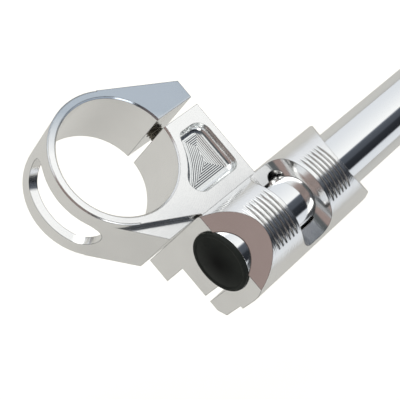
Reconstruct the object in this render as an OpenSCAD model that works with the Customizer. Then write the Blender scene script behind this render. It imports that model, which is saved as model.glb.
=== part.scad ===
// Clip-on handlebar for a motorbike: a machined fork clamp, its arm and bar clamp in one piece,
// with a straight handlebar tube, its end plug and the clamping screws.
// Millimetres. The fork bore's axis is Z, its mid height is z = 0, and the bar runs along +X.

/* [Fork clamp] */
// Diameter of the fork tube that the ring grips
fork_d = 41; // [36:0.5:48]
// Thickness of the ring's wall
ring_wall = 2.9; // [2.4:0.1:4]
// Height of the ring, and of the arm
ring_h = 28; // [27:0.5:34]
// Chamfer on both edges of the fork bore
bore_chamfer = 0.5; // [0.2:0.1:1]
// Chamfer on the ring's outer edges
ring_chamfer = 0.4; // [0.2:0.1:0.8]
// Width of the slit that lets the ring close
slit_w = 3; // [1.5:0.1:4]
// Distance of the slit's middle from the fork's axis
slit_y = 0.7; // [-2:0.1:2]
// Thickness of the ear at its free end
ear_w = 7.1; // [5.5:0.1:10]
// How far the ear and the arm reach past the fork bore
arm_reach = 16.6; // [15:0.1:22]

/* [Ring window] */
// Height of the window in the ring
window_h = 14.8; // [8:0.1:16]
// Angle from the window's middle to the centre of each round end
window_half_angle = 26; // [12:1:40]

/* [Arm] */
// Place along X of the corner where the arm's slanted wall ends
nose_x = -3.6; // [-6:0.1:0]
// Place along X where the top plate's front edge meets the bar clamp
plate_x = 9.7; // [8.6:0.1:14]
// Depth of the shelf beside the top plate
shelf_depth = 3; // [1:0.1:6]
// Depth of the lightening pocket
pocket_depth = 3.3; // [2.8:0.1:6]
// Radius between the pocket's floor and its walls
pocket_floor_r = 2.4; // [1:0.1:2.5]
// Wall left between the pocket and the fork bore
pocket_wall = 3.2; // [2.5:0.1:5]
// Wall left between the pocket and the arm's back edge
pocket_back = 2.7; // [2:0.1:5]
// Wall left between the pocket and the slit
pocket_slit_wall = 4.6; // [3:0.1:7]
// Wall left between the pocket and the bar clamp
pocket_clamp_wall = 4.5; // [3:0.1:7]
// Corner radius beside the slit, at the ring
pocket_tip_r = 2.6; // [2.6:0.1:3.2]
// Corner radius beside the slit, at the back edge
pocket_back_r = 5; // [3:0.1:6]
// Corner radius at the back edge, beside the bar clamp
pocket_low_r = 3.2; // [2.7:0.1:5]
// Corner radius at the ring, beside the bar clamp
pocket_ring_r = 4.5; // [4:0.1:5.5]

/* [Bar clamp] */
// Distance from the fork bore's wall to the bar's axis
bar_gap = 25.6; // [25:0.1:32]
// Depth of the bar's axis under the top face
bar_depth = 7; // [6:0.1:8]
// Radius of the round clamp about the bar's axis
clamp_r = 16.7; // [15.5:0.1:19]
// Distance from the bar's axis to the arm's side wall
clamp_side = 15.7; // [15:0.1:16]
// Place along X of the clamp's inner end
clamp_x = 8.4; // [7:0.1:9]
// Length of the clamp along the bar
clamp_len = 61.8; // [58:0.1:70]
// Angle of the slope at both ends of the clamp's top
bevel_angle = 45; // [40:1:50]
// Width of the slit under the bar
clamp_slit_w = 2.4; // [1.2:0.1:3]
// Distance of that slit from the bar's axis, away from the fork
clamp_slit_y = 7.2; // [5.5:0.1:8]
// How far the lug's flat face is cut back from the clamp's widest place
lug_flat = 1.1; // [0.4:0.1:1.6]
// Depth of the upper edge of that flat face under the top face
lug_flat_depth = 15.2; // [14:0.1:17]
// Chamfer on the lug's lower edge, sideways
lug_chamfer_w = 3.3; // [1:0.1:5]
// Chamfer on the lug's lower edge, upwards
lug_chamfer_h = 2.6; // [1:0.1:4]
// Thickness of the foot under the clamp, beside the arm
foot_w = 9.6; // [6:0.1:10]
// Height of that foot
foot_h = 13.3; // [4:0.1:20]

/* [Neck] */
// Place along X of the middle of the neck
neck_x = 39; // [38:0.1:42]
// Width of the neck's flat floor
neck_floor = 4.8; // [4:0.1:8]
// Radius of the neck's round sides
neck_r = 5.8; // [4:0.1:6.5]
// Radius of the wider bore inside the neck
relief_r = 11.8; // [11.6:0.1:13]
// Length of that wider bore
relief_len = 9; // [8:0.1:16]
// Diameter of the upright locating hole
pin_hole_d = 6; // [4:0.1:7]
// Depth of the locating hole
pin_hole_depth = 14; // [6:0.5:18]
// Distance of the locating hole from the neck's middle
pin_hole_x = 3; // [0:0.1:3.5]
// Distance of the locating hole from the bar's axis
pin_hole_y = 9.1; // [8.5:0.1:10]

/* [Grooves] */
// Number of grooves on each half of the clamp
groove_count = 6; // [1:1:6]
// Distance from one groove to the next
groove_pitch = 1.9; // [1.4:0.05:2]
// Width of a groove
groove_w = 0.7; // [0.4:0.05:1]
// Depth of a groove on top
groove_depth = 0.8; // [0.4:0.05:1.2]
// How far a groove reaches to each side of the bar's axis
groove_reach = 9; // [6:0.1:11]
// Distance from the neck's wall to the nearest groove
groove_margin = 2.1; // [1.2:0.1:2.6]

/* [Handlebar] */
// Outside diameter of the handlebar tube
bar_d = 22.2; // [21:0.1:22.3]
// Wall of the handlebar tube
bar_wall = 3; // [1.5:0.1:4]
// Length of the handlebar tube
bar_len = 250; // [180:5:320]
// Gap between the tube and its clamp, all round
bar_clearance = 0.05; // [0.02:0.01:0.15]
// How far the tube's inner end stands behind the clamp's front face
bar_setback = 0.5; // [0:0.1:3]
// Chamfer on the tube's outer end
bar_chamfer = 0.6; // [0.2:0.1:1.2]

/* [End plug] */
// Thickness of the plug's cap at its rim
plug_rim = 1.7; // [1:0.1:3]
// Height of the cap's crown above its rim
plug_crown = 0.5; // [0.2:0.1:1]
// Length of the plug inside the tube
plug_len = 12; // [6:0.5:25]
// Gap between the plug and the tube's bore
plug_clearance = 0.05; // [0.02:0.01:0.2]

/* [Screws] */
// Diameter of the fork clamp's screw
pinch_d = 6; // [5:0.5:6.5]
// Distance from the fork bore to that screw's axis
pinch_gap = 5.9; // [5.8:0.1:7]
// Length of that screw under its head
pinch_len = 25; // [16:1:26]
// Diameter of the bar clamp's screws
grip_d = 5; // [4:0.5:5]
// Length of the bar clamp's screws under their heads
grip_len = 16; // [11:0.5:17]
// Depth of the bar clamp's screws under the top face
grip_depth = 21.6; // [21.5:0.1:22.5]
// Distance of each bar clamp screw from the clamp's middle
grip_spread = 17.3; // [12:0.1:22]
// Height of the heads of the bar clamp's screws
grip_head_h = 3.5; // [2.5:0.1:3.6]
// Gap between a screw and its threaded hole
thread_clearance = 0.05; // [0.02:0.01:0.2]
// Gap round a screw in its plain hole
hole_clearance = 0.3; // [0.2:0.05:0.5]

/* [Hidden] */
$fn = 96;

// Length that a cutter runs past the solid that it cuts
over = 2;
// How far the arm's plate runs into the clamp
root_depth = 2;
// How far inside the ring's outer circle the arm's flat walls meet it, so that they cross it cleanly
touch_inset = 0.03;
// Part of the ear's thickness that is left under the pinch bolt's head
seat_share = 0.58;
// Depth of the bar clamp's screw heads under the lug's flat face
head_sink = 0.1;
// Room left past the end of a bar clamp screw
thread_runout = 1;
// Radius of each screw's head, as a part of the screw's diameter
pinch_head_share = 5 / 6;
grip_head_share = 0.85;
// Radius of a screw's socket and height of its floor, as parts of the head's radius and height
socket_r_share = 0.58;
socket_floor_share = 0.45;

fork_r = fork_d / 2;
ring_r = fork_r + ring_wall;
touch_r = ring_r - touch_inset;
top = ring_h / 2;
bottom = -top;
bar_r = bar_d / 2;

bar_y = -(fork_r + bar_gap);
bar_z = top - bar_depth;
side_y = bar_y + clamp_side;
arm_x = fork_r + arm_reach;
slit_top = slit_y + slit_w / 2;
slit_low = slit_y - slit_w / 2;
clamp_end = clamp_x + clamp_len;
clamp_crown = bar_z + clamp_r;

// Angle about the fork's axis at which a line from point p touches the ring, on the chosen side
function touch_angle(p, side) = atan2(p.y, p.x) + side * acos(touch_r / norm(p));
function on_circle(r, a) = [r * cos(a), r * sin(a)];

nose = [nose_x, side_y];
plate_corner = [plate_x, side_y];
ear_corner = [arm_x, slit_top + ear_w];
ear_touch = touch_angle(ear_corner, 1);

// Corner circles of the pocket: centre and radius, in order round its outline
pocket_arc = fork_r + pocket_wall;
pocket_x = arm_x - pocket_back;
pocket_top = slit_low - pocket_slit_wall;
pocket_low = side_y + pocket_clamp_wall;
function beside_ring(y, r) = [sqrt((pocket_arc + r) * (pocket_arc + r) - y * y), y];
tip_c = beside_ring(pocket_top - pocket_tip_r, pocket_tip_r);
ring_c = beside_ring(pocket_low + pocket_ring_r, pocket_ring_r);
back_c = [pocket_x - pocket_back_r, pocket_top - pocket_back_r];
low_c = [pocket_x - pocket_low_r, pocket_low + pocket_low_r];
pocket_corners = [
    [tip_c, pocket_tip_r],
    [back_c, pocket_back_r],
    [low_c, pocket_low_r],
    [ring_c, pocket_ring_r]
];

// Half of the neck's width at the top of its walls
neck_half = neck_floor / 2 + neck_r;

// A groove's bottom is an arc that leaves the clamp's round top at groove_reach on each side
groove_drop = clamp_r - sqrt(clamp_r * clamp_r - groove_reach * groove_reach);
groove_sag = groove_drop - groove_depth;
groove_r = (groove_reach * groove_reach + groove_sag * groove_sag) / (2 * groove_sag);
groove_axis_z = clamp_crown - groove_depth - groove_r;

pinch_x = fork_r + pinch_gap;
pinch_head_r = pinch_d * pinch_head_share;
pinch_head_h = pinch_d;
pinch_seat = slit_top + ear_w * seat_share;
grip_z = top - grip_depth;
grip_head_r = grip_d * grip_head_share;
lug_face = bar_y - clamp_r + lug_flat;
grip_seat = lug_face + grip_head_h + head_sink;
clamp_mid = clamp_x + clamp_len / 2;
plug_x = clamp_x + bar_setback;

// Outline of the ring, the ear and the arm, with its front edge running from the ring to point p
module arm_outline(p) {
    circle(r = ring_r);
    polygon([
        on_circle(touch_r, touch_angle(p, -1)),
        p,
        [arm_x, side_y],
        ear_corner,
        on_circle(touch_r, ear_touch),
        [0, 0]
    ]);
}

module arm_solid() {
    // The plate runs on into the clamp, so that no crease is left under the clamp's round top
    translate([plate_x, side_y - root_depth, bottom])
        cube([arm_x - plate_x, 1.5 * root_depth, ring_h]);
    translate([0, 0, bottom])
        linear_extrude(ring_h - shelf_depth)
            arm_outline(nose);
    translate([0, 0, bottom])
        linear_extrude(ring_h)
            arm_outline(plate_corner);
}

// The clamp seen along the bar: round on top, with flat sides and a lug on the far side
module clamp_section() {
    low = bottom - bar_z;
    step = top - lug_flat_depth - bar_z;
    intersection() {
        circle(r = clamp_r);
        translate([-clamp_r - over, 0])
            square([clamp_r + over + clamp_side, clamp_r + over]);
    }
    polygon([
        [clamp_side, 0],
        [-clamp_r, 0],
        [-clamp_r, step],
        [-clamp_r + lug_flat, step],
        [-clamp_r + lug_flat, low + lug_chamfer_h],
        [-clamp_r + lug_flat + lug_chamfer_w, low],
        [clamp_side, low]
    ]);
}

// The clamp seen from the side: upright ends, with a slope above the top face
module clamp_side_outline() {
    rise = clamp_r + over;
    run = rise / tan(bevel_angle);
    polygon([
        [clamp_x, bottom - over],
        [clamp_x, top],
        [clamp_x + run, top + rise],
        [clamp_end - run, top + rise],
        [clamp_end, top],
        [clamp_end, bottom - over]
    ]);
}

// Turns a drawing in the YZ plane into a bar of length l along +X
module along_x(l) {
    rotate([90, 0, 90])
        linear_extrude(l)
            children();
}

// Turns a drawing in the XZ plane into a bar along Y, from y0 to y1
module along_y(y0, y1) {
    translate([0, y1, 0])
        rotate([90, 0, 0])
            linear_extrude(y1 - y0)
                children();
}

module clamp_solid() {
    intersection() {
        translate([clamp_x, bar_y, bar_z])
            along_x(clamp_len)
                clamp_section();
        along_y(bar_y - clamp_r - over, bar_y + clamp_r + over)
            clamp_side_outline();
    }
    translate([clamp_x, side_y - foot_w, bottom - foot_h])
        cube([arm_x - clamp_x, foot_w, foot_h + over]);
}

module ring_window() {
    rotate([0, 0, 180 - window_half_angle])
        rotate_extrude(angle = 2 * window_half_angle)
            translate([fork_r - over, -window_h / 2])
                square([ring_wall + 2 * over, window_h]);
    for (side = [-1, 1])
        rotate([0, 0, 180 + side * window_half_angle])
            rotate([0, 90, 0])
                translate([0, 0, fork_r - 2 * over])
                    cylinder(r = window_h / 2, h = ring_wall + 4 * over);
}

module fork_bore() {
    translate([0, 0, bottom - over])
        cylinder(r = fork_r, h = ring_h + 2 * over);
    for (flip = [0, 1])
        mirror([0, 0, flip])
            translate([0, 0, top - bore_chamfer])
                cylinder(r1 = fork_r, r2 = fork_r + bore_chamfer + over, h = bore_chamfer + over);
}

// Chamfers on the outside of the ring, from the arm's wall round to the ear
module ring_edges() {
    start = ear_touch;
    for (flip = [0, 1]) {
        finish = 360 + touch_angle(flip == 0 ? plate_corner : nose, -1);
        mirror([0, 0, flip])
            rotate([0, 0, start])
                rotate_extrude(angle = finish - start)
                    polygon([
                        [ring_r - ring_chamfer, top],
                        [ring_r + over, top - ring_chamfer - over],
                        [ring_r + over, top + over],
                        [ring_r - ring_chamfer, top + over]
                    ]);
    }
}

module ring_slit() {
    translate([0, slit_low, bottom - over])
        cube([arm_x + over, slit_w, ring_h + 2 * over]);
}

// The pocket's outline, drawn inwards by the amount inset
module pocket_outline(inset) {
    arc = pocket_arc + inset;
    difference() {
        union() {
            polygon([
                [tip_c.x, pocket_top - inset],
                [back_c.x, pocket_top - inset],
                [pocket_x - inset, back_c.y],
                [pocket_x - inset, low_c.y],
                [low_c.x, pocket_low + inset],
                [ring_c.x, pocket_low + inset],
                ring_c * arc / norm(ring_c),
                tip_c * arc / norm(tip_c)
            ]);
            for (c = pocket_corners)
                translate(c[0])
                    circle(r = c[1] - inset);
        }
        circle(r = arc);
    }
}

// A ball cutter leaves the same round at the foot of every wall
module pocket() {
    translate([0, 0, top - pocket_depth + pocket_floor_r])
        minkowski() {
            linear_extrude(pocket_depth)
                pocket_outline(pocket_floor_r, $fn = 48);
            sphere(r = pocket_floor_r, $fn = 24);
        }
}

module bar_bore() {
    translate([clamp_x - over, bar_y, bar_z])
        rotate([0, 90, 0])
            cylinder(r = bar_r + bar_clearance, h = clamp_len + 2 * over);
    translate([neck_x - relief_len / 2, bar_y, bar_z])
        rotate([0, 90, 0])
            cylinder(r = relief_r, h = relief_len);
    translate([clamp_x - over, bar_y - clamp_slit_y - clamp_slit_w / 2, bottom - over])
        cube([clamp_len + 2 * over, clamp_slit_w, bar_z - bottom + over - bar_r / 2]);
}

// The neck between the two halves: a flat floor at the level of the top face, with round sides
module neck() {
    rise = clamp_r + over;
    along_y(bar_y - clamp_r - over, bar_y + clamp_r + over) {
        translate([neck_x - neck_floor / 2, top])
            square([neck_floor, rise]);
        translate([neck_x - neck_half, top + neck_r])
            square([2 * neck_half, rise - neck_r]);
        for (side = [-1, 1])
            translate([neck_x + side * neck_floor / 2, top + neck_r])
                circle(r = neck_r);
    }
}

module locating_hole() {
    translate([neck_x + pin_hole_x, bar_y + pin_hole_y, top - pin_hole_depth])
        cylinder(d = pin_hole_d, h = pin_hole_depth + clamp_r);
}

module groove(x) {
    translate([x, bar_y, groove_axis_z])
        rotate([0, 90, 0])
            rotate_extrude()
                translate([groove_r, -groove_w / 2])
                    square([groove_depth + over, groove_w]);
}

// Grooves on both halves. Each is a ring, so only the part above the top face is kept
module grooves() {
    intersection() {
        translate([clamp_x, bar_y - clamp_r, top + over])
            cube([clamp_len, 2 * clamp_r, clamp_r]);
        for (i = [0 : groove_count - 1], side = [-1, 1])
            groove(neck_x + side * (neck_half + groove_margin + i * groove_pitch));
    }
}

module pinch_holes() {
    translate([pinch_x, 0, 0])
        rotate([-90, 0, 0]) {
            translate([0, 0, pinch_seat - pinch_len - over])
                cylinder(r = pinch_d / 2 + thread_clearance, h = pinch_len);
            translate([0, 0, slit_y])
                cylinder(r = pinch_d / 2 + hole_clearance, h = pinch_len);
            translate([0, 0, pinch_seat])
                cylinder(r = pinch_head_r + 2 * hole_clearance, h = ring_r);
        }
}

module grip_holes() {
    for (side = [-1, 1])
        translate([clamp_mid + side * grip_spread, grip_seat, grip_z])
            rotate([-90, 0, 0]) {
                cylinder(r = grip_d / 2 + thread_clearance, h = grip_len + thread_runout);
                cylinder(r = grip_d / 2 + hole_clearance, h = bar_y - clamp_slit_y - grip_seat);
                mirror([0, 0, 1])
                    cylinder(r = grip_head_r + hole_clearance, h = grip_head_h + 2 * over);
            }
}

module fork_clamp_body() {
    color("silver")
        difference() {
            union() {
                arm_solid();
                clamp_solid();
            }
            fork_bore();
            ring_edges();
            ring_window();
            ring_slit();
            pocket();
            bar_bore();
            neck();
            locating_hole();
            grooves();
            pinch_holes();
            grip_holes();
        }
}

module handlebar_tube() {
    color("gainsboro")
        translate([plug_x, bar_y, bar_z])
            rotate([0, 90, 0])
                rotate_extrude()
                    polygon([
                        [bar_r - bar_wall, 0],
                        [bar_r, 0],
                        [bar_r, bar_len - bar_chamfer],
                        [bar_r - bar_chamfer, bar_len],
                        [bar_r - bar_wall, bar_len]
                    ]);
}

// The cap's crown is part of a ball that meets the rim's edge
module bar_end_plug() {
    crown_r = (bar_r * bar_r + plug_crown * plug_crown) / (2 * plug_crown);
    color("black")
        translate([plug_x, bar_y, bar_z])
            rotate([0, -90, 0]) {
                intersection() {
                    cylinder(r = bar_r, h = plug_rim + plug_crown + over);
                    translate([0, 0, plug_rim + plug_crown - crown_r])
                        sphere(r = crown_r);
                }
                mirror([0, 0, 1])
                    cylinder(r = bar_r - bar_wall - plug_clearance, h = plug_len);
            }
}

// A cap screw with its head above z = 0 and its shank below, with a hexagon socket
module cap_screw(d, l, head_r, head_h) {
    difference() {
        union() {
            cylinder(r = head_r, h = head_h);
            translate([0, 0, -l])
                cylinder(r = d / 2, h = l + head_h / 2);
        }
        translate([0, 0, head_h * socket_floor_share])
            cylinder(r = head_r * socket_r_share, h = head_h, $fn = 6);
    }
}

module fork_pinch_bolt() {
    color("dimgray")
        translate([pinch_x, pinch_seat, 0])
            rotate([-90, 0, 0])
                cap_screw(pinch_d, pinch_len, pinch_head_r, pinch_head_h);
}

module bar_clamp_screws() {
    color("dimgray")
        for (side = [-1, 1])
            translate([clamp_mid + side * grip_spread, grip_seat, grip_z])
                rotate([90, 0, 0])
                    cap_screw(grip_d, grip_len, grip_head_r, grip_head_h);
}

fork_clamp_body();
handlebar_tube();
bar_end_plug();
fork_pinch_bolt();
bar_clamp_screws();
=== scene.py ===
"""Dresses the clip-on handlebar: machined fork clamp, polished tube, black plug and dark screws."""

import logging
import math
from dataclasses import dataclass, field
from enum import Enum

import bmesh
import bpy
from mathutils import Matrix, Vector


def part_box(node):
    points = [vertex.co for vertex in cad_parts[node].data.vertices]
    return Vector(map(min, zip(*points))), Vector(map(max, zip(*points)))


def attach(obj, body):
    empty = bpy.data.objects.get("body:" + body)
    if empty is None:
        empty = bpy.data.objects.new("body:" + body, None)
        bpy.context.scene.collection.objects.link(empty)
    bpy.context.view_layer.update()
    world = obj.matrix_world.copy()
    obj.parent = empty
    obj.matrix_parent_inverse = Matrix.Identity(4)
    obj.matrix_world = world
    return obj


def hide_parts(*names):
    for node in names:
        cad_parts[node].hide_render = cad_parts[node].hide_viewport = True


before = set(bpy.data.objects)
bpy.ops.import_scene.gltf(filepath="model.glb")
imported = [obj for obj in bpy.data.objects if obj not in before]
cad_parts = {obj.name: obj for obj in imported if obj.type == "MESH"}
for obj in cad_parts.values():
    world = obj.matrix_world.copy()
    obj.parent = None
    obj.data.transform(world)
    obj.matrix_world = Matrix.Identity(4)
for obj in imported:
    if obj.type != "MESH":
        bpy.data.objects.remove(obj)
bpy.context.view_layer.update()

log = logging.getLogger("clip_on")

MM = 0.001

# The bar's axis runs along +X at this place in the part's frame, in millimetres
BAR_Y = -46.1
BAR_Z = 7.0

# Sockets of a Mix node that blends colours
MIX_FIRST = 6
MIX_SECOND = 7
MIX_RESULT = 2

# Range that the values of cloudy noise keep to, near enough, and its numbers of finer layers
NOISE_SPAN = (0.3, 0.7)
FINE_LAYERS = 4.0
BROAD_LAYERS = 3.0
FEW_LAYERS = 2.0

# Samples for the round that is shown on a sharp edge
EDGE_SAMPLES = 4

# Points nearer than this, in metres, are one, and edges bent more than this stay sharp
SAME_POINT = 1e-6
SHARP_ANGLE = math.radians(34)

Socket = bpy.types.NodeSocket
Colour = tuple[float, float, float]
Point = tuple[float, float, float]
Span = tuple[float, float]
Face = tuple[int, ...]


class Slot(Enum):
    """Material slots of the record."""

    ALUMINIUM = "machined_aluminium"
    TUBE = "polished_tube"
    PLUG = "black_plug"
    STEEL = "dark_steel"


class Op(Enum):
    """Kinds of sum that a Math node does for a finish."""

    ADD = "ADD"
    SUBTRACT = "SUBTRACT"
    MULTIPLY = "MULTIPLY"
    SINE = "SINE"
    POWER = "POWER"
    ABSOLUTE = "ABSOLUTE"
    MAXIMUM = "MAXIMUM"
    GREATER = "GREATER_THAN"
    LESS = "LESS_THAN"


class Bench:
    """Lays out the nodes of one finish and joins them up."""

    def __init__(self, name: str) -> None:
        """Starts an empty material.

        Args:
            name: Name of the new material.
        """
        self.material = bpy.data.materials.new(name)
        self.material.use_nodes = True
        self.tree = self.material.node_tree
        self.tree.nodes.clear()
        self.out = self.tree.nodes.new("ShaderNodeOutputMaterial")
        self.shader = self.tree.nodes.new("ShaderNodeBsdfPrincipled")
        self.tree.links.new(self.shader.outputs["BSDF"], self.out.inputs["Surface"])

    def node(self, kind: str, **settings: object) -> bpy.types.Node:
        """Adds a node and sets its own settings.

        Args:
            kind: Blender's name for the node's class.
            settings: Attributes to set on the node.

        Returns:
            The new node.
        """
        made = self.tree.nodes.new(kind)
        for key, value in settings.items():
            setattr(made, key, value)
        return made

    def feed(self, socket: Socket, value: object) -> None:
        """Joins a socket to another, or sets its value.

        Args:
            socket: The input to feed.
            value: An output socket, or a plain value.
        """
        if isinstance(value, Socket):
            self.tree.links.new(value, socket)
        else:
            socket.default_value = value

    def math(self, op: Op, a: object, b: object = 0.0) -> Socket:
        """Works out one sum of two values.

        Args:
            op: The sum to do.
            a: First value or socket.
            b: Second value or socket.

        Returns:
            The result's socket.
        """
        made = self.node("ShaderNodeMath", operation=op.value)
        self.feed(made.inputs[0], a)
        self.feed(made.inputs[1], b)
        return made.outputs[0]

    def times(self, a: object, b: object) -> Socket:
        """Multiplies two values."""
        return self.math(Op.MULTIPLY, a, b)

    def plus(self, a: object, b: object) -> Socket:
        """Adds two values."""
        return self.math(Op.ADD, a, b)

    def wave(self, value: object, rate: float) -> Socket:
        """Makes a sine wave along a value.

        Args:
            value: The value to run along.
            rate: Radians for each unit of it.

        Returns:
            The wave, from -1 to 1.
        """
        return self.math(Op.SINE, self.times(value, rate))

    def place(self) -> Socket:
        """Returns the place on the part, in millimetres of the part's own frame."""
        coords = self.node("ShaderNodeTexCoord")
        scaled = self.node("ShaderNodeVectorMath", operation="SCALE")
        self.feed(scaled.inputs[0], coords.outputs["Object"])
        scaled.inputs["Scale"].default_value = 1 / MM
        return scaled.outputs[0]

    def split(self, vector: Socket) -> list[Socket]:
        """Splits a vector into its three parts.

        Args:
            vector: The vector's socket.

        Returns:
            The X, Y and Z sockets.
        """
        made = self.node("ShaderNodeSeparateXYZ")
        self.feed(made.inputs[0], vector)
        return list(made.outputs)

    def noise(
        self, vector: Socket, scale: float, detail: float = FEW_LAYERS, stretch: Point = (1, 1, 1)
    ) -> Socket:
        """Makes cloudy noise, stretched along the axes.

        Args:
            vector: Where the noise is read.
            scale: Noise cells per millimetre.
            detail: How many finer layers are added.
            stretch: How much finer the noise is along each axis.

        Returns:
            The noise's value, around one half.
        """
        mapped = self.node("ShaderNodeMapping")
        self.feed(mapped.inputs["Vector"], vector)
        mapped.inputs["Scale"].default_value = stretch
        made = self.node("ShaderNodeTexNoise")
        self.feed(made.inputs["Vector"], mapped.outputs[0])
        made.inputs["Scale"].default_value = scale
        made.inputs["Detail"].default_value = detail
        return made.outputs["Fac"]

    def ramp(
        self, value: object, low: float, high: float, to_low: float = 0.0, to_high: float = 1.0
    ) -> Socket:
        """Maps one range of values onto another, held at both ends.

        Args:
            value: The value to map.
            low: Start of the range read.
            high: End of the range read.
            to_low: Result at the start.
            to_high: Result at the end.

        Returns:
            The mapped value.
        """
        made = self.node("ShaderNodeMapRange", clamp=True)
        self.feed(made.inputs["Value"], value)
        made.inputs["From Min"].default_value = low
        made.inputs["From Max"].default_value = high
        made.inputs["To Min"].default_value = to_low
        made.inputs["To Max"].default_value = to_high
        return made.outputs[0]

    def blend(self, share: object, first: object, second: object) -> Socket:
        """Blends two colours.

        Args:
            share: How much of the second colour shows.
            first: Colour or socket at share 0.
            second: Colour or socket at share 1.

        Returns:
            The blended colour.
        """
        made = self.node("ShaderNodeMix", data_type="RGBA")
        self.feed(made.inputs["Factor"], share)
        for place, colour in ((MIX_FIRST, first), (MIX_SECOND, second)):
            self.feed(made.inputs[place], colour if isinstance(colour, Socket) else (*colour, 1.0))
        return made.outputs[MIX_RESULT]

    def bump(self, height: Socket, strength: float, depth: float, base: Socket) -> Socket:
        """Turns heights into a normal.

        Args:
            height: The height's socket.
            strength: Share of the bump that is used.
            depth: Metres of relief for a height of 1.
            base: The normal to add the bump to.

        Returns:
            The bumped normal.
        """
        made = self.node("ShaderNodeBump")
        made.inputs["Strength"].default_value = strength
        made.inputs["Distance"].default_value = depth
        self.feed(made.inputs["Height"], height)
        self.feed(made.inputs["Normal"], base)
        return made.outputs[0]

    def soft_edges(self, radius: float) -> Socket:
        """Gives sharp edges the small round that a deburred edge has.

        Args:
            radius: Radius of the round, in metres.

        Returns:
            The softened normal.
        """
        made = self.node("ShaderNodeBevel", samples=EDGE_SAMPLES)
        made.inputs["Radius"].default_value = radius
        return made.outputs[0]

    def near_edge(self, radius: float, lean: Span = (0.99, 0.93)) -> Socket:
        """Tells where a sharp edge lies close by.

        Args:
            radius: How close, in metres.
            lean: Cosines of the softened normal's lean, beside an edge and on it.

        Returns:
            0 away from edges, up to 1 on them.
        """
        shape = self.node("ShaderNodeNewGeometry")
        leaning = self.node("ShaderNodeVectorMath", operation="DOT_PRODUCT")
        self.feed(leaning.inputs[0], self.soft_edges(radius))
        self.feed(leaning.inputs[1], shape.outputs["Normal"])
        return self.ramp(leaning.outputs["Value"], *lean)

    def set_roughness(self, fine: Socket, fine_span: Span, broad: Socket, broad_span: Span) -> None:
        """Sets a roughness that varies finely and also in broad patches. The two are added.

        Args:
            fine: Fine noise.
            fine_span: What the fine noise gives, from its lowest to its highest.
            broad: Broad noise.
            broad_span: What the broad noise gives, from its lowest to its highest.
        """
        speckle = self.ramp(fine, *NOISE_SPAN, *fine_span)
        patches = self.ramp(broad, *NOISE_SPAN, *broad_span)
        self.set("Roughness", self.plus(speckle, patches))

    def set(self, name: str, value: object) -> None:
        """Sets one input of the shader, by its name."""
        self.feed(self.shader.inputs[name], value)


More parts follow.
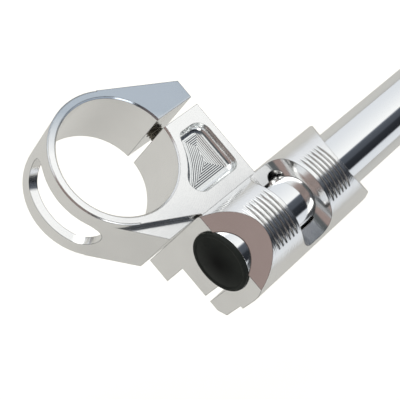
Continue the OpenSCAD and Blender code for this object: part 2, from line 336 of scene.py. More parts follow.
@dataclass(frozen=True)
class MachinedAluminium:
    """Billet aluminium as it comes from the mill, with light cutter marks.

    Places are in millimetres of the part's frame. The relief and the widths along edges are in
    metres, and the marks' heights are multiples of the relief.
    """

    light: Colour = (0.985, 0.98, 0.965)
    dull: Colour = (0.95, 0.945, 0.93)
    # Painted reflection on the ear's level face, cooler and darker
    painted_reflection_blue: Colour = (0.40, 0.46, 0.53)
    # Painted shade, for thin lines beside sharp edges and along the cutter's steps
    painted_shade_line: Colour = (0.13, 0.13, 0.12)
    # Painted shade in the pocket, darker and cooler
    pocket_shade: Colour = (0.74, 0.78, 0.77)
    roughness: float = 0.18
    grain_rough: float = 0.02
    cloud_rough: float = 0.03
    cloud_scale: float = 0.09
    cloud_span: Span = (0.35, 0.65)
    grain_scale: float = 1.6
    relief: float = 0.000012
    relief_share: float = 0.35
    # Edges are rounded a little, and a thin line of painted shade lies beside them
    edge_round: float = 0.00018
    edge_shade_width: float = 0.00045
    edge_shade_share: float = 0.85
    # Painted reflection: the ear's level face turns cooler and darker outward. Slant of the change,
    # its run, and how far it goes
    level_normal: float = 0.7
    ear_slant: float = 0.6
    ear_span: Span = (1.0, 18.0)
    ear_side: Span = (0.5, 3.0)
    ear_share: float = 0.9
    # The pocket's sides: radius from the fork's axis, greatest x, least and greatest y. Then the
    # least x that counts as pocket, the room left round it, its fillet, and the share of its painted
    # shade
    pocket: tuple[float, float, float, float] = (23.7, 34.4, -25.9, -5.4)
    pocket_from: float = 15.0
    pocket_edge: float = 0.4
    pocket_fillet: float = 2.7
    pocket_shade_share: float = 0.35
    # Places along z: the top face, the rim under it, just over the pocket's floor, and below it
    top: float = 14.0
    rim: float = 0.05
    pocket_floor: float = 10.9
    under_floor: float = 8.0
    # The cutter's steps on the pocket's floor: spacing, height, and how dark the painted shade lines
    # along them are
    step: float = 0.68
    step_height: float = 5.0
    step_span: Span = (0.2, 0.9)
    step_shade: float = 0.8
    # Fine marks elsewhere: radians for each millimetre, and height
    layer_rate: float = 17.0
    layer_height: float = 0.2
    sweep_rate: float = 9.0
    sweep_height: float = 0.1
    grain_height: float = 0.18
    # Turned lines on the clamp's round top: rate, height, waver, and how far their faces may lean
    turned_rate: float = 8.0
    turned_height: float = 4.0
    waver_scale: float = 0.5
    waver: float = 5.0
    turned_lean: float = 0.3
    turned_above: float = 0.1

    def make(self) -> bpy.types.Material:
        """Builds the material.

        Returns:
            The finished material.
        """
        bench = Bench(Slot.ALUMINIUM.value)
        place = bench.place()
        x, y, z = bench.split(place)
        cloud = bench.noise(place, self.cloud_scale, BROAD_LAYERS)
        grain = bench.noise(place, self.grain_scale, FINE_LAYERS)
        lean_x, _, upright = bench.split(bench.node("ShaderNodeNewGeometry").outputs["Normal"])
        inside, floor = self.pocket_depth(bench, x, y, z)
        steps = bench.wave(inside, 2 * math.pi / self.step)
        plain = bench.blend(bench.ramp(cloud, *self.cloud_span), self.dull, self.light)
        # Painted reflection: the ear's level face turns cooler and darker outward
        with_painted_reflection = bench.blend(self.ear_reflection(bench, x, y, upright), plain, self.painted_reflection_blue)
        # Painted shade: the pocket's floor and walls are tinted darker and cooler
        pocket_shade_mix = bench.times(self.in_pocket(bench, inside, x, z), self.pocket_shade_share)
        # Painted shade: dark lines along the cutter's steps on the pocket's floor
        step_shade_lines = bench.times(bench.ramp(steps, *self.step_span), bench.times(floor, self.step_shade))
        with_painted_shade = bench.blend(step_shade_lines, bench.blend(pocket_shade_mix, with_painted_reflection, self.pocket_shade), self.painted_shade_line)
        # Painted shade: a thin dark line beside every sharp edge
        edges = bench.times(bench.near_edge(self.edge_shade_width), self.edge_shade_share)
        bench.set("Base Color", bench.blend(edges, with_painted_shade, self.painted_shade_line))
        bench.set("Metallic", 1.0)
        grained = (self.roughness - self.grain_rough, self.roughness + self.grain_rough)
        bench.set_roughness(grain, grained, cloud, (-self.cloud_rough, self.cloud_rough))
        height = bench.times(bench.times(steps, floor), self.step_height)
        height = bench.plus(height, self.fine_marks(bench, x, y, z, lean_x))
        height = bench.plus(height, bench.times(grain, self.grain_height))
        soft = bench.soft_edges(self.edge_round)
        bench.set("Normal", bench.bump(height, self.relief_share, self.relief, soft))
        return bench.material

    def ear_reflection(self, bench: Bench, x: Socket, y: Socket, upright: Socket) -> Socket:
        """Tells how much painted reflection, cooler and darker, a point gets on the ear's level face.
        It grows outward.

        Args:
            bench: The bench to lay the nodes on.
            x: Place along the bar.
            y: Place across the bar.
            upright: Upright part of the face's normal.

        Returns:
            0 off the ear, up to the ear's share at its tip.
        """
        outward = bench.plus(y, bench.times(x, self.ear_slant))
        reached = bench.ramp(outward, *self.ear_span, 0.0, self.ear_share)
        ear = bench.times(reached, bench.ramp(y, *self.ear_side))
        return bench.times(ear, bench.math(Op.GREATER, upright, self.level_normal))

    def in_pocket(self, bench: Bench, inside: Socket, x: Socket, z: Socket) -> Socket:
        """Tells whether a point lies on the pocket's floor or walls.

        Args:
            bench: The bench to lay the nodes on.
            inside: Distance from the pocket's outline, below 0 inside.
            x: Place along the bar.
            z: Place along the fork.

        Returns:
            1 in the pocket or else 0.
        """
        within = bench.math(Op.LESS, inside, self.pocket_edge)
        below = bench.math(Op.LESS, z, self.top - self.rim)
        above = bench.math(Op.GREATER, z, self.under_floor)
        beyond = bench.math(Op.GREATER, x, self.pocket_from)
        return bench.times(bench.times(within, below), bench.times(above, beyond))

    def pocket_depth(self, bench: Bench, x: Socket, y: Socket, z: Socket) -> tuple[Socket, Socket]:
        """Works out how far inside the pocket's outline a point of its floor lies.

        Args:
            bench: The bench to lay the nodes on.
            x: Place along the bar.
            y: Place across the bar.
            z: Place along the fork.

        Returns:
            The distance, below 0 inside, and 1 on the pocket's floor or else 0.
        """
        left, right, low, high = self.pocket
        from_ring = bench.math(Op.SUBTRACT, left, self.reach(bench, x, y))
        beside = bench.math(Op.MAXIMUM, bench.math(Op.SUBTRACT, x, right), from_ring)
        ends = bench.math(Op.SUBTRACT, low, y), bench.math(Op.SUBTRACT, y, high)
        inside = bench.math(Op.MAXIMUM, beside, bench.math(Op.MAXIMUM, *ends))
        flat = bench.math(Op.LESS, inside, -self.pocket_fillet)
        low_down = bench.math(Op.LESS, z, self.pocket_floor)
        above = bench.math(Op.GREATER, z, self.under_floor)
        return inside, bench.times(bench.times(flat, low_down), above)

    def reach(self, bench: Bench, x: Socket, y: Socket) -> Socket:
        """Returns the distance from the fork's axis, in millimetres."""
        return bench.math(Op.POWER, bench.plus(bench.times(x, x), bench.times(y, y)), 0.5)

    def fine_marks(self, bench: Bench, x: Socket, y: Socket, z: Socket, lean_x: Socket) -> Socket:
        """Works out the fine lines that the cutters leave outside the pocket.

        Args:
            bench: The bench to lay the nodes on.
            x: Place along the bar.
            y: Place across the bar.
            z: Place along the fork.
            lean_x: Part of the face's normal along the bar.

        Returns:
            The height of the marks.
        """
        layers = bench.times(bench.wave(z, self.layer_rate), self.layer_height)
        sweep = bench.times(bench.wave(self.reach(bench, x, y), self.sweep_rate), self.sweep_height)
        waver = bench.times(bench.noise(bench.place(), self.waver_scale), self.waver)
        along = bench.plus(bench.times(x, self.turned_rate), waver)
        over_top = bench.math(Op.GREATER, z, self.top + self.turned_above)
        faces_up = bench.math(Op.LESS, bench.math(Op.ABSOLUTE, lean_x), self.turned_lean)
        turned = bench.times(bench.math(Op.SINE, along), bench.times(over_top, faces_up))
        return bench.plus(bench.plus(layers, sweep), bench.times(turned, self.turned_height))


@dataclass(frozen=True)
class PolishedTube:
    """Mirror polish with the faint lengthwise streaks of a buffed tube."""

    tint: Colour = (0.96, 0.965, 0.96)
    darker: float = 0.97
    roughness: float = 0.05
    streak_rough: float = 0.05
    haze_rough: float = 0.03
    streak_scale: float = 0.9
    streak_stretch: Point = (0.04, 1.0, 1.0)
    haze_scale: float = 0.05
    relief: float = 0.00001
    relief_share: float = 0.10
    edge_round: float = 0.0003

    def make(self) -> bpy.types.Material:
        """Builds the material.

        Returns:
            The finished material.
        """
        bench = Bench(Slot.TUBE.value)
        place = bench.place()
        streaks = bench.noise(place, self.streak_scale, BROAD_LAYERS, self.streak_stretch)
        haze = bench.noise(place, self.haze_scale)
        bench.set("Metallic", 1.0)
        shaded = tuple(self.darker * c for c in self.tint)
        bench.set("Base Color", bench.blend(haze, shaded, self.tint))
        hazed = (self.roughness, self.roughness + self.haze_rough)
        bench.set_roughness(streaks, (0.0, self.streak_rough), haze, hazed)
        soft = bench.soft_edges(self.edge_round)
        bench.set("Normal", bench.bump(streaks, self.relief_share, self.relief, soft))
        return bench.material


@dataclass(frozen=True)
class BlackPlug:
    """Smooth black moulding with a soft gloss. A painted sheen lightens it from its middle to its
    rim.
    """

    tint: Colour = (0.0008, 0.0010, 0.0008)
    # Painted sheen, which the face takes on towards its rim
    painted_sheen: Colour = (0.030, 0.034, 0.030)
    sheen_span: Span = (1.0, 9.5)
    gloss: float = 0.05
    roughness: float = 0.26
    fine_rough: float = 0.03
    haze_rough: float = 0.08
    fine_scale: float = 4.0
    haze_scale: float = 0.12
    haze_least: float = 0.7
    relief: float = 0.00002
    relief_share: float = 0.12
    edge_round: float = 0.0004

    def make(self) -> bpy.types.Material:
        """Builds the material.

        Returns:
            The finished material.
        """
        bench = Bench(Slot.PLUG.value)
        place = bench.place()
        fine = bench.noise(place, self.fine_scale, FINE_LAYERS)
        haze = bench.noise(place, self.haze_scale)
        _, y, z = bench.split(place)
        aside = bench.math(Op.SUBTRACT, y, BAR_Y)
        above = bench.math(Op.SUBTRACT, z, BAR_Z)
        square = bench.plus(bench.times(aside, aside), bench.times(above, above))
        # Painted sheen: lighter from the bar's axis out to the rim, broken up by the haze
        outer = bench.ramp(bench.math(Op.POWER, square, 0.5), *self.sheen_span)
        sheen_share = bench.times(outer, bench.ramp(haze, *NOISE_SPAN, self.haze_least, 1.0))
        bench.set("Base Color", bench.blend(sheen_share, self.tint, self.painted_sheen))
        bench.set("Specular IOR Level", self.gloss)
        hazed = (self.roughness, self.roughness + self.haze_rough)
        bench.set_roughness(fine, (-self.fine_rough, self.fine_rough), haze, hazed)
        soft = bench.soft_edges(self.edge_round)
        bench.set("Normal", bench.bump(fine, self.relief_share, self.relief, soft))
        return bench.material


@dataclass(frozen=True)
class DarkSteel:
    """Black oxide screws, oiled, worn a little brighter in fine random speckles."""

    tint: Colour = (0.12, 0.11, 0.085)
    worn: Colour = (0.45, 0.42, 0.35)
    worn_span: Span = (0.42, 0.70)
    metallic: float = 0.85
    roughness: float = 0.30
    fine_rough: float = 0.05
    haze_rough: float = 0.1
    fine_scale: float = 2.2
    haze_scale: float = 0.4
    relief: float = 0.00003
    relief_share: float = 0.2
    edge_round: float = 0.00015

    def make(self) -> bpy.types.Material:
        """Builds the material.

        Returns:
            The finished material.
        """
        bench = Bench(Slot.STEEL.value)
        place = bench.place()
        fine = bench.noise(place, self.fine_scale, FINE_LAYERS)
        haze = bench.noise(place, self.haze_scale)
        bench.set("Metallic", self.metallic)
        bench.set("Base Color", bench.blend(bench.ramp(fine, *self.worn_span), self.tint, self.worn))
        hazed = (self.roughness, self.roughness + self.haze_rough)
        bench.set_roughness(fine, (-self.fine_rough, self.fine_rough), haze, hazed)
        soft = bench.soft_edges(self.edge_round)
        bench.set("Normal", bench.bump(fine, self.relief_share, self.relief, soft))
        return bench.material


def smooth_piece(
    name: str,
    points: list[Point],
    faces: list[Face],
    finish: bpy.types.Material,
    slot: Slot,
    node: str,
) -> bpy.types.Object:
    """Makes a piece of the part from points in metres, and lets it stand for a CAD node.

    Args:
        name: The piece's name.
        points: Its points, in the part's frame.
        faces: Its faces, as point numbers.
        finish: The material to show.
        slot: The record's material slot. It is not used.
        node: The CAD node that it stands for.

    Returns:
        The new piece.
    """
    mesh = bpy.data.meshes.new(name)
    mesh.from_pydata(points, [], faces)
    built = bmesh.new()
    built.from_mesh(mesh)
    bmesh.ops.remove_doubles(built, verts=built.verts, dist=SAME_POINT)
    bmesh.ops.recalc_face_normals(built, faces=built.faces)
    built.to_mesh(mesh)
    built.free()
    mesh.shade_smooth()
    mesh.set_sharp_from_angle(angle=SHARP_ANGLE)
    mesh.materials.append(finish)
    piece = bpy.data.objects.new(name, mesh)
    bpy.context.scene.collection.objects.link(piece)
    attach(piece, "root")
    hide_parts(node)
    return piece


class Lathe:
    """Turns loops of points about an axis into a closed skin."""

    def __init__(self, origin: Point, axis: Point, segments: int) -> None:
        """Sets up the axis of turning.

        Args:
            origin: Start of the axis, in millimetres.
            axis: Direction of the axis.
            segments: Points round each loop.
        """
        self.origin = Vector(origin)
        self.turn = Vector(axis).to_track_quat("Z", "Y").to_matrix()
        self.segments = segments
        self.points: list[Point] = []
        self.faces: list[Face] = []
        self.last: int | None = None

    def put(self, r: float, angle: float, height: float) -> None:
        """Adds one point, at a radius, an angle and a height along the axis."""
        spot = self.origin + self.turn @ Vector((r * math.cos(angle), r * math.sin(angle), height))
        self.points.append(tuple(MM * c for c in spot))

    def loop(self, radii: list[float], height: float) -> None:
        """Adds a loop and joins it to the one before.

        Args:
            radii: Radius at each segment, in millimetres.
            height: Height of the loop along the axis.
        """
        start = len(self.points)
        for i, r in enumerate(radii):
            self.put(r, 2 * math.pi * i / self.segments, height)
        if self.last is not None:
            for i in range(self.segments):
                j = (i + 1) % self.segments
                self.faces.append((self.last + i, self.last + j, start + j, start + i))
        self.last = start

    def ring(self, r: float, height: float) -> None:
        """Adds a plain round loop."""
        self.loop([r] * self.segments, height)

    def join_ends(self) -> None:
        """Joins the last loop to the first, for a tube."""
        last = self.last or 0
        for i in range(self.segments):
            j = (i + 1) % self.segments
            self.faces.append((last + i, last + j, j, i))

    def skin(self, profile: list[Span]) -> None:
        """Adds a loop for each radius and height of a profile."""
        for r, height in profile:
            self.ring(r, height)


def rounded(r: float, height: float, edge: float, steps: int = 5) -> list[Span]:
    """Rounds the outer upper corner of a turned profile.

    Args:
        r: Outer radius at the corner.
        height: Height of the end face.
        edge: Radius of the round.
        steps: Points on the round.

    Returns:
        Radii and heights, from the side to the end face.
    """
    turns = [math.pi / 2 * i / steps for i in range(steps + 1)]
    return [(r - edge + edge * math.cos(a), height - edge * (1 - math.sin(a))) for a in turns]


@dataclass
class ClampBody:
    """The machined billet that grips the fork and the bar."""

    node: str = "fork_clamp_body"

    def dress(self, finish: bpy.types.Material) -> int:
        """Gives the billet its finish.

        Args:
            finish: The machined aluminium.

        Returns:
            How many faces the piece has.
        """
        return put_on(self.node, finish)


@dataclass
class Handlebar:
    """The straight polished tube."""

    node: str = "handlebar_tube"
    radius: float = 11.1
    wall: float = 3.0
    edge: float = 0.5
    mouth: float = 0.2
    segments: int = 128
    lengths: int = 12

    def dress(self, finish: bpy.types.Material) -> int:
        """Turns the tube and gives it its finish.

        Args:
            finish: The mirror polish.

        Returns:
            How many faces the piece has.
        """
        low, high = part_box(self.node)
        start, end = low.x / MM, high.x / MM
        bore = self.radius - self.wall
        shares = [i / self.lengths for i in range(1, self.lengths)]
        lathe = Lathe((0, BAR_Y, BAR_Z), (1, 0, 0), self.segments)
        lathe.skin([(bore, start), (self.radius, start)])
        lathe.skin([(self.radius, start + (end - start) * share) for share in shares])
        lathe.skin(rounded(self.radius, end, self.edge))
        lathe.skin([(bore + self.mouth, end), (bore, end - self.mouth)])
        lathe.join_ends()
        skin = lathe.points, lathe.faces
        piece = smooth_piece("polished_handlebar_tube", *skin, finish, Slot.TUBE, self.node)
        return len(piece.data.polygons)


@dataclass
class EndPlug:
    """The black plug in the tube's inner end."""

    node: str = "bar_end_plug"
    radius: float = 11.1
    stem: float = 8.05
    rim: float = 1.7
    crown: float = 0.5
    edge: float = 0.45
    face: float = 9.7
    step: float = 0.25
    step_run: Span = (0.2, 0.05)
    hub: float = 0.4
    stem_chamfer: float = 0.6
    stem_top: float = 0.3
    segments: int = 96
    edge_steps: int = 6
    # Rings on the crown. The last one stops this part of a ring short of the middle
    crown_rings: int = 13
    crown_stop: float = 0.5

    def dress(self, finish: bpy.types.Material) -> int:
        """Turns the plug and gives it its finish.

        Args:
            finish: The black moulding.

        Returns:
            How many faces the piece has.
        """
        low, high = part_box(self.node)
        seat = low.x / MM + self.rim + self.crown
        end = seat - high.x / MM
        foot = self.rim - self.step
        outer, inner = self.step_run
        lathe = Lathe((seat, BAR_Y, BAR_Z), (-1, 0, 0), self.segments)
        lathe.skin([(self.hub, end), (self.stem - self.stem_chamfer, end)])
        lathe.skin([(self.stem, end + self.stem_chamfer), (self.stem, -self.stem_top)])
        lathe.skin([(self.stem, 0.0), (self.radius, 0.0)])
        lathe.skin(rounded(self.radius, self.rim, self.edge, self.edge_steps))
        lathe.skin([(self.face + outer, self.rim), (self.face + inner, foot)])
        for i in range(self.crown_rings):
            share = 1 - i / (self.crown_rings - self.crown_stop)
            lathe.ring(self.face * share, foot + (self.crown + self.step) * (1 - share * share))
        skin = lathe.points, lathe.faces
        piece = smooth_piece("black_end_plug", *skin, finish, Slot.PLUG, self.node)
        lids = bmesh.new()
        lids.from_mesh(piece.data)
        bmesh.ops.holes_fill(lids, edges=lids.edges)
        lids.to_mesh(piece.data)
        lids.free()
        piece.data.shade_smooth()
        return len(piece.data.polygons)


@dataclass
class CapScrew:
    """A socket cap screw with a knurled head and a cut thread. Sizes are in millimetres."""

    radius: float
    length: float
    head_radius: float
    head_height: float
    pitch: float
    plain: float = 0.6
    # The thread: loops for each turn, its start, its depth as a share of the pitch, the crest's
    # fullness, and the plain shoulder under the head
    loops: int = 6
    lead: float = 0.02
    depth_share: float = 0.54
    fullness: float = 1.15
    shoulder: float = 0.05
    # The head: insets of its seat and top, then inset and height of the rounds next to them
    seat_inset: float = 0.25
    top_inset: float = 0.45
    lower_round: Span = (0.1, 0.15)
    upper_round: Span = (0.02, 0.55)
    # The knurls: how many, how deep, and how far from the head's seat and top they end
    knurls: int = 24
    knurl_depth: float = 0.16
    knurl_ends: Span = (0.4, 0.75)
    # The socket: distance to a flat and its two depths, as shares of the head, and its chamfer
    socket_share: float = 0.5
    mouth_share: float = 1.06
    mouth_depth: float = 0.2
    wall_share: float = 0.5
    floor_share: float = 0.36
    hub: float = 0.2
    segments: int = 72

    def hexagon(self, across: float) -> list[float]:
        """Gives the radius of a hexagon at each segment.

        Args:
            across: Distance from the middle to a flat.

        Returns:
            One radius for each segment.
        """
        sixth = math.pi / 3
        turns = [2 * math.pi * i / self.segments for i in range(self.segments)]
        return [across / math.cos((a + sixth / 2) % sixth - sixth / 2) for a in turns]

    def knurled(self) -> list[float]:
        """Gives the head's radius at each segment, with its knurls."""
        turns = [2 * math.pi * i * self.knurls / self.segments for i in range(self.segments)]
        return [self.head_radius - self.knurl_depth * (0.5 + 0.5 * math.cos(a)) for a in turns]

    def thread(self, lathe: Lathe) -> None:
        """Cuts the thread, which runs out at both of its ends.

        Args:
            lathe: The lathe to add the thread's loops to.
        """
        rise = self.pitch / self.loops
        cut = self.depth_share * self.pitch
        count = int((self.length - self.plain) / rise)
        for k in range(count + 1):
            fade = min(1.0, k / self.loops, (count - k) / self.loops)
            closing = cut * (1 - fade) * (k < self.loops)
            radii = []
            for i in range(self.segments):
                turn = (k / self.loops - i / self.segments) % 1.0
                crest = min(1.0, self.fullness * abs(2 * turn - 1))
                radii.append(self.radius - cut * (1 - crest) * fade - closing)
            lathe.loop(radii, -self.length + self.lead + k * rise)

    def turned(self, origin: Point, axis: Point) -> Lathe:
        """Builds the screw's skin, with its head along axis and its shank against it.

        Args:
            origin: Middle of the seat under the head, in millimetres.
            axis: The direction in which the head stands.

        Returns:
            The lathe that holds the skin.
        """
        lathe = Lathe(origin, axis, self.segments)
        root = self.radius - self.depth_share * self.pitch
        top = self.head_height
        lathe.skin([(self.hub, -self.length), (root, -self.length)])
        self.thread(lathe)
        lathe.skin([(self.radius, -self.plain), (self.radius, -self.shoulder), (self.radius, 0.0)])
        inset, rise = self.lower_round
        lathe.skin([(self.head_radius - self.seat_inset, 0.0), (self.head_radius - inset, rise)])
        lathe.loop(self.knurled(), self.knurl_ends[0])
        lathe.loop(self.knurled(), top - self.knurl_ends[1])
        inset, fall = self.upper_round
        lathe.skin([(self.head_radius - inset, top - fall), (self.head_radius - self.top_inset, top)])
        socket = self.hexagon(self.socket_share * self.head_radius)
        lathe.loop([self.mouth_share * r for r in socket], top)
        lathe.loop(socket, top - self.mouth_depth)
        lathe.loop(socket, self.wall_share * top)
        lathe.ring(self.hub, self.floor_share * top)
        return lathe


@dataclass
class ForkPinchBolt:
    """The screw that closes the ring's slit. Its thread shows in the slit."""

    node: str = "fork_pinch_bolt"
    screw: CapScrew = field(default_factory=lambda: CapScrew(3.0, 25.0, 5.0, 6.0, 1.0))

    def dress(self, finish: bpy.types.Material) -> int:
        """Cuts the screw and gives it its finish.

        Args:
            finish: The dark steel.

        Returns:
            How many faces the piece has.
        """
        low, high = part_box(self.node)
        middle = (low + high) / 2 / MM
        seat = high.y / MM - self.screw.head_height
        lathe = self.screw.turned((middle.x, seat, middle.z), (0, 1, 0))
        skin = lathe.points, lathe.faces
        piece = smooth_piece("threaded_pinch_bolt", *skin, finish, Slot.STEEL, self.node)
        return len(piece.data.polygons)


@dataclass
class BarClampScrews:
    """The two screws that close the slit under the bar."""

    node: str = "bar_clamp_screws"
    screw: CapScrew = field(default_factory=lambda: CapScrew(2.5, 16.0, 4.25, 3.5, 0.8))

    def dress(self, finish: bpy.types.Material) -> int:
        """Cuts both screws and gives them their finish.

        Args:
            finish: The dark steel.

        Returns:
            How many faces the pieces have.
        """
        low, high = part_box(self.node)
        seat = low.y / MM + self.screw.head_height
        height = (low.z + high.z) / 2 / MM
        points: list[Point] = []
        faces: list[Face] = []
        inset = self.screw.head_radius
        for x in (low.x / MM + inset, high.x / MM - inset):
            lathe = self.screw.turned((x, seat, height), (0, -1, 0))
            faces += [tuple(len(points) + i for i in face) for face in lathe.faces]
            points += lathe.points
        name = "threaded_clamp_screws"
        piece = smooth_piece(name, points, faces, finish, Slot.STEEL, self.node)
        return len(piece.data.polygons)


def put_on(node: str, finish: bpy.types.Material) -> int:
    """Puts a finish on a CAD node.

    Args:
        node: The node's name.
        finish: The material to show.

    Returns:
        How many faces the node has.
    """
    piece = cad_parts[node]
    piece.data.materials.clear()
    piece.data.materials.append(finish)
    return len(piece.data.polygons)


@dataclass
class PhotoCamera:
    """The camera at the photograph's viewing angle."""

    place: Point = (-0.16943, -0.03900, 0.27660)
    right: Point = (0.643, -0.643, 0.416)
    down: Point = (-0.512, -0.765, -0.391)
    focal_px: float = 999.09
    frame_px: float = 400.0
    sensor: float = 36.0
    clip: Span = (0.01, 20.0)

    def make(self) -> None:
        """Creates the camera and makes it the scene's."""
        data = bpy.data.cameras.new("photo_camera")
        data.sensor_width = self.sensor
        data.lens = self.focal_px / self.frame_px * self.sensor
        data.clip_start, data.clip_end = self.clip
        camera = bpy.data.objects.new("photo_camera", data)
        bpy.context.scene.collection.objects.link(camera)
        across = Vector(self.right).normalized()
        up = -Vector(self.down)
        up = (up - up.dot(across) * across).normalized()
        back = across.cross(up)
        turn = Matrix((across, up, back)).transposed()
        camera.matrix_world = Matrix.Translation(Vector(self.place)) @ turn.to_4x4()
        bpy.context.scene.camera = camera


@dataclass
class Lamp:
    """One soft lamp, aimed at the part."""

    name: str
    place: Point
    size: float
    power: float
    aim: Point = (0.03, -0.02, 0.0)

    def make(self) -> None:
        """Hangs the lamp in the scene."""
        data = bpy.data.lights.new(self.name, "AREA")
        data.shape = "SQUARE"
        data.size = self.size
        data.energy = self.power
        lamp = bpy.data.objects.new(self.name, data)
        bpy.context.scene.collection.objects.link(lamp)
        lamp.location = self.place
        toward = Vector(self.aim) - Vector(self.place)
        lamp.rotation_euler = toward.to_track_quat("-Z", "Y").to_euler()


@dataclass
class Studio:
    """Pale floor, soft lamps and a plain white surround."""

    floor_z: float = -0.12
    floor_half: float = 6.0
    floor_paint: Colour = (0.60, 0.588, 0.55)
    floor_roughness: float = 0.9
    glow: Colour = (1.0, 0.99, 0.94)
    glow_mirrored: float = 0.17
    glow_seen: float = 0.72
    white: Colour = (1.0, 1.0, 1.0)
    lamps: list[Lamp] = field(
        default_factory=lambda: [
            Lamp("top_lamp", (0.1, 0.75, 1.0), 0.9, 3.5),
            Lamp("side_lamp", (-0.5, -0.9, 0.8), 0.5, 2.0),
        ]
    )

    def make(self) -> None:
        """Builds the floor, hangs the lamps and sets the surround."""
        self.floor()
        for lamp in self.lamps:
            lamp.make()
        self.surround()

    def floor(self) -> None:
        """Lays the pale floor, which keeps the part's shadow."""
        half = self.floor_half
        mesh = bpy.data.meshes.new("floor")
        corners = [(-half, -half, 0), (half, -half, 0), (half, half, 0), (-half, half, 0)]
        mesh.from_pydata(corners, [], [(0, 1, 2, 3)])
        plane = bpy.data.objects.new("floor", mesh)
        plane.location = (0, 0, self.floor_z)
        bpy.context.scene.collection.objects.link(plane)
        bench = Bench("floor")
        bench.set("Base Color", (*self.floor_paint, 1.0))
        bench.set("Roughness", self.floor_roughness)
        bench.set("Emission Color", (*self.glow, 1.0))
        seen = bench.node("ShaderNodeLightPath").outputs["Is Camera Ray"]
        bench.set("Emission Strength", bench.ramp(seen, 0.0, 1.0, self.glow_mirrored, self.glow_seen))
        mesh.materials.append(bench.material)

    def surround(self) -> None:
        """Sets a white surround for what the camera sees, and the room that the metal mirrors."""
        world = bpy.data.worlds.new("surround")
        bpy.context.scene.world = world
        world.use_nodes = True
        tree = world.node_tree
        tree.nodes.clear()
        out = tree.nodes.new("ShaderNodeOutputWorld")
        shade = tree.nodes.new("ShaderNodeBackground")
        path = tree.nodes.new("ShaderNodeLightPath")
        room = Room()
        seen = room.lay(tree, room.colour(tree), self.white, path.outputs["Is Camera Ray"])
        tree.links.new(seen, shade.inputs["Color"])
        tree.links.new(shade.outputs[0], out.inputs["Surface"])


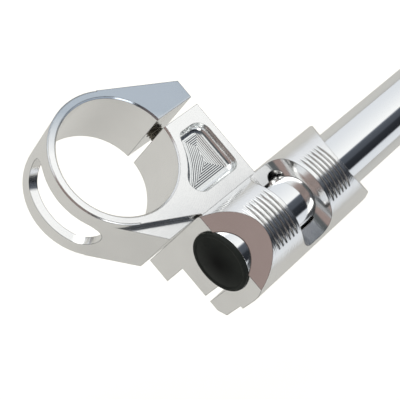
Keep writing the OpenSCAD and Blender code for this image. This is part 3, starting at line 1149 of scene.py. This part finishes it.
@dataclass(frozen=True)
class Room:
    """The bright room that the metal mirrors, with dark bands, a warm card and a dark hood."""

    stops: tuple[Span, ...] = (
        (0.0, 0.78),
        (0.40, 0.97),
        (0.485, 1.0),
        (0.515, 0.22),
        (0.545, 0.10),
        (0.70, 0.08),
        (0.75, 0.03),
        (0.91, 0.02),
        (0.935, 0.72),
        (1.0, 0.78),
    )
    warmth: float = 0.99
    blueness: float = 0.12
    # Each card: where it hangs, the cosines at which it begins and is full, and its colour
    card_place: Point = (-0.82, 0.04, 0.57)
    card_span: Span = (0.82, 0.93)
    card: Colour = (0.30, 0.235, 0.22)
    hood_place: Point = (-0.30, 0.0, 0.954)
    hood_span: Span = (0.91, 0.97)
    hood: Colour = (0.09, 0.10, 0.105)

    def facing(self, tree: bpy.types.NodeTree, way: Point, span: Span) -> Socket:
        """Tells how far a direction faces a given way.

        Args:
            tree: The world's nodes.
            way: The direction asked about.
            span: Cosines at which the answer is 0 and 1.

        Returns:
            The answer, from 0 to 1.
        """
        coords = tree.nodes.new("ShaderNodeTexCoord")
        dot = tree.nodes.new("ShaderNodeVectorMath")
        dot.operation = "DOT_PRODUCT"
        tree.links.new(coords.outputs["Generated"], dot.inputs[0])
        dot.inputs[1].default_value = way
        share = tree.nodes.new("ShaderNodeMapRange")
        share.interpolation_type = "SMOOTHSTEP"
        share.inputs["From Min"].default_value, share.inputs["From Max"].default_value = span
        tree.links.new(dot.outputs["Value"], share.inputs["Value"])
        return share.outputs[0]

    def across(self, tree: bpy.types.NodeTree) -> Socket:
        """Tells how far a direction leans across the bar, whatever its lean along the bar.

        Args:
            tree: The world's nodes.

        Returns:
            0 towards the fork's side, 0.5 straight up and 1 towards the outer side.
        """
        coords = tree.nodes.new("ShaderNodeTexCoord")
        flat = tree.nodes.new("ShaderNodeVectorMath")
        flat.operation = "MULTIPLY"
        flat.inputs[1].default_value = (0.0, 1.0, 1.0)
        tree.links.new(coords.outputs["Generated"], flat.inputs[0])
        unit = tree.nodes.new("ShaderNodeVectorMath")
        unit.operation = "NORMALIZE"
        tree.links.new(flat.outputs["Vector"], unit.inputs[0])
        lean = tree.nodes.new("ShaderNodeVectorMath")
        lean.operation = "DOT_PRODUCT"
        lean.inputs[1].default_value = (0.0, -1.0, 0.0)
        tree.links.new(unit.outputs["Vector"], lean.inputs[0])
        share = tree.nodes.new("ShaderNodeMapRange")
        share.inputs["From Min"].default_value = -1.0
        tree.links.new(lean.outputs["Value"], share.inputs["Value"])
        return share.outputs[0]

    def lay(
        self, tree: bpy.types.NodeTree, under: Socket, colour: Colour, share: Socket
    ) -> Socket:
        """Lays one colour over what is there.

        Args:
            tree: The world's nodes.
            under: The colour that is there.
            colour: The colour to lay over it.
            share: How much of the new colour shows.

        Returns:
            The mixed colour.
        """
        mixed = tree.nodes.new("ShaderNodeMix")
        mixed.data_type = "RGBA"
        mixed.inputs[MIX_SECOND].default_value = (*colour, 1.0)
        tree.links.new(share, mixed.inputs["Factor"])
        tree.links.new(under, mixed.inputs[MIX_FIRST])
        return mixed.outputs[MIX_RESULT]

    def colour(self, tree: bpy.types.NodeTree) -> Socket:
        """Builds the room's colour in every direction.

        Args:
            tree: The world's nodes.

        Returns:
            The colour.
        """
        bands = tree.nodes.new("ShaderNodeValToRGB")
        ends = bands.color_ramp.elements
        for place, _ in self.stops[1:-1]:
            ends.new(place)
        for element, (place, level) in zip(ends, self.stops):
            blue = self.blueness * (1 - level)
            element.position = place
            element.color = (level * (self.warmth - blue), level, level * (1 + 2 * blue), 1.0)
        tree.links.new(self.across(tree), bands.inputs["Fac"])
        card = self.facing(tree, self.card_place, self.card_span)
        hood = self.facing(tree, self.hood_place, self.hood_span)
        carded = self.lay(tree, bands.outputs["Color"], self.card, card)
        return self.lay(tree, carded, self.hood, hood)


def show_plainly() -> None:
    """Sets the view so that a colour shows as it is written."""
    bpy.context.scene.view_settings.view_transform = "Standard"


def main() -> None:
    """Builds the camera, the studio and each piece, in order."""
    logging.basicConfig(level=logging.INFO, format="%(name)s: %(message)s")
    show_plainly()
    PhotoCamera().make()
    Studio().make()
    steel = DarkSteel().make()
    steps = [
        ("clamp body", ClampBody(), MachinedAluminium().make()),
        ("handlebar", Handlebar(), PolishedTube().make()),
        ("end plug", EndPlug(), BlackPlug().make()),
        ("pinch bolt", ForkPinchBolt(), steel),
        ("clamp screws", BarClampScrews(), steel),
    ]
    for name, piece, finish in steps:
        log.info("%s: %d faces, finish %s", name, piece.dress(finish), finish.name)


if __name__ == "__main__":
    main()
